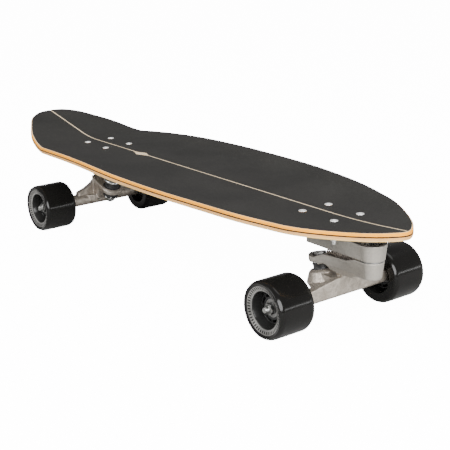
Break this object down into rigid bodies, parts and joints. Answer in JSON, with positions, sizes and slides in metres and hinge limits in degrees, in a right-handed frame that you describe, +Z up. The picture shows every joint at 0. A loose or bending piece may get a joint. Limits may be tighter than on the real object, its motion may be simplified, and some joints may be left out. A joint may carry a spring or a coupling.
{
  "type": "surf skateboard",
  "caption": "Surf-style skateboard: kicked and concave ply deck with grip sheet, spring-loaded swing-arm front truck, kingpin rear truck, wide soft wheels.",
  "frame": {"origin": "on the ground, under the middle of the board's length and width", "axes": "+X towards the nose, +Y to the left of a rider facing the nose, +Z up from the deck"},
  "size_m": [0.817, 0.2362, 0.1524],
  "materials": {
    "ply": "clear lacquered maple ply",
    "grip": "abrasive sheet",
    "cast_alloy": "satin, tumbled casting",
    "sand_cast_alloy": "rough casting",
    "steel": "zinc plated",
    "bright_steel": "polished",
    "spring_steel": "oiled dark wire",
    "soft_urethane": "satin",
    "wheel_urethane": "gloss tread",
    "core_nylon": "moulded"
  },
  "bodies": {
    "board": {"deck": "ply", "grip_tape": "grip", "front_mount_bolt_1": "steel", "front_mount_bolt_2": "steel", "front_mount_bolt_3": "steel", "front_mount_bolt_4": "steel", "rear_mount_bolt_1": "steel", "rear_mount_bolt_2": "steel", "rear_mount_bolt_3": "steel", "rear_mount_bolt_4": "steel", "front_mount_nut_1": "steel", "front_mount_nut_2": "steel", "front_mount_nut_3": "steel", "front_mount_nut_4": "steel", "rear_mount_nut_1": "steel", "rear_mount_nut_2": "steel", "rear_mount_nut_3": "steel", "rear_mount_nut_4": "steel", "front_base": "cast_alloy", "arm_pivot_bolt": "bright_steel", "arm_pivot_nut": "steel", "arm_thrust_washer": "bright_steel", "rear_baseplate": "cast_alloy", "rear_kingpin": "steel", "rear_kingpin_nut": "steel", "rear_upper_bushing": "soft_urethane", "rear_lower_bushing": "soft_urethane", "rear_upper_washer": "bright_steel", "rear_lower_washer": "bright_steel", "rear_pivot_cup": "soft_urethane"},
    "swing_arm": {"front_arm": "cast_alloy", "arm_spring": "spring_steel", "front_kingpin": "steel", "front_kingpin_nut": "steel", "front_upper_bushing": "soft_urethane", "front_lower_bushing": "soft_urethane", "front_upper_washer": "bright_steel", "front_lower_washer": "bright_steel", "front_pivot_cup": "soft_urethane"},
    "front_truck": {"front_hanger": "sand_cast_alloy", "front_axle": "steel", "front_left_axle_nut": "steel", "front_right_axle_nut": "steel"},
    "rear_truck": {"rear_hanger": "sand_cast_alloy", "rear_axle": "steel", "rear_left_axle_nut": "steel", "rear_right_axle_nut": "steel"},
    "front_left_wheel": {"front_left_tyre": "wheel_urethane", "front_left_core": "core_nylon", "front_left_bearings": "bright_steel"},
    "front_right_wheel": {"front_right_tyre": "wheel_urethane", "front_right_core": "core_nylon", "front_right_bearings": "bright_steel"},
    "rear_left_wheel": {"rear_left_tyre": "wheel_urethane", "rear_left_core": "core_nylon", "rear_left_bearings": "bright_steel"},
    "rear_right_wheel": {"rear_right_tyre": "wheel_urethane", "rear_right_core": "core_nylon", "rear_right_bearings": "bright_steel"}
  },
  "joints": [
    {"name": "arm_swing", "type": "hinge", "parent": "board", "child": "swing_arm", "pos_m": [0.3545, 0, 0.07], "axis": [0, 0, 1], "range_deg": [-20, 20], "stiffness_Nm_per_rad": 6, "deforming": ["arm_spring"]},
    {"name": "front_steer", "type": "hinge", "parent": "swing_arm", "child": "front_truck", "pos_m": [0.2745, 0, 0.047], "axis": [0.9371, 0, 0.3491], "range_deg": [-15, 15], "stiffness_Nm_per_rad": 40, "deforming": ["front_upper_bushing", "front_lower_bushing"]},
    {"name": "rear_steer", "type": "hinge", "parent": "board", "child": "rear_truck", "pos_m": [-0.216, 0, 0.054], "axis": [-0.8699, 0, 0.4933], "range_deg": [-18, 18], "stiffness_Nm_per_rad": 60, "deforming": ["rear_upper_bushing", "rear_lower_bushing"]},
    {"name": "front_left_spin", "type": "hinge", "parent": "front_truck", "child": "front_left_wheel", "pos_m": [0.2973, 0.088, 0.035], "axis": [0, 1, 0], "continuous": true},
    {"name": "front_right_spin", "type": "hinge", "parent": "front_truck", "child": "front_right_wheel", "pos_m": [0.2973, -0.088, 0.035], "axis": [0, 1, 0], "continuous": true},
    {"name": "rear_left_spin", "type": "hinge", "parent": "rear_truck", "child": "rear_left_wheel", "pos_m": [-0.2488, 0.088, 0.035], "axis": [0, 1, 0], "continuous": true},
    {"name": "rear_right_spin", "type": "hinge", "parent": "rear_truck", "child": "rear_right_wheel", "pos_m": [-0.2488, -0.088, 0.035], "axis": [0, 1, 0], "continuous": true}
  ]
}
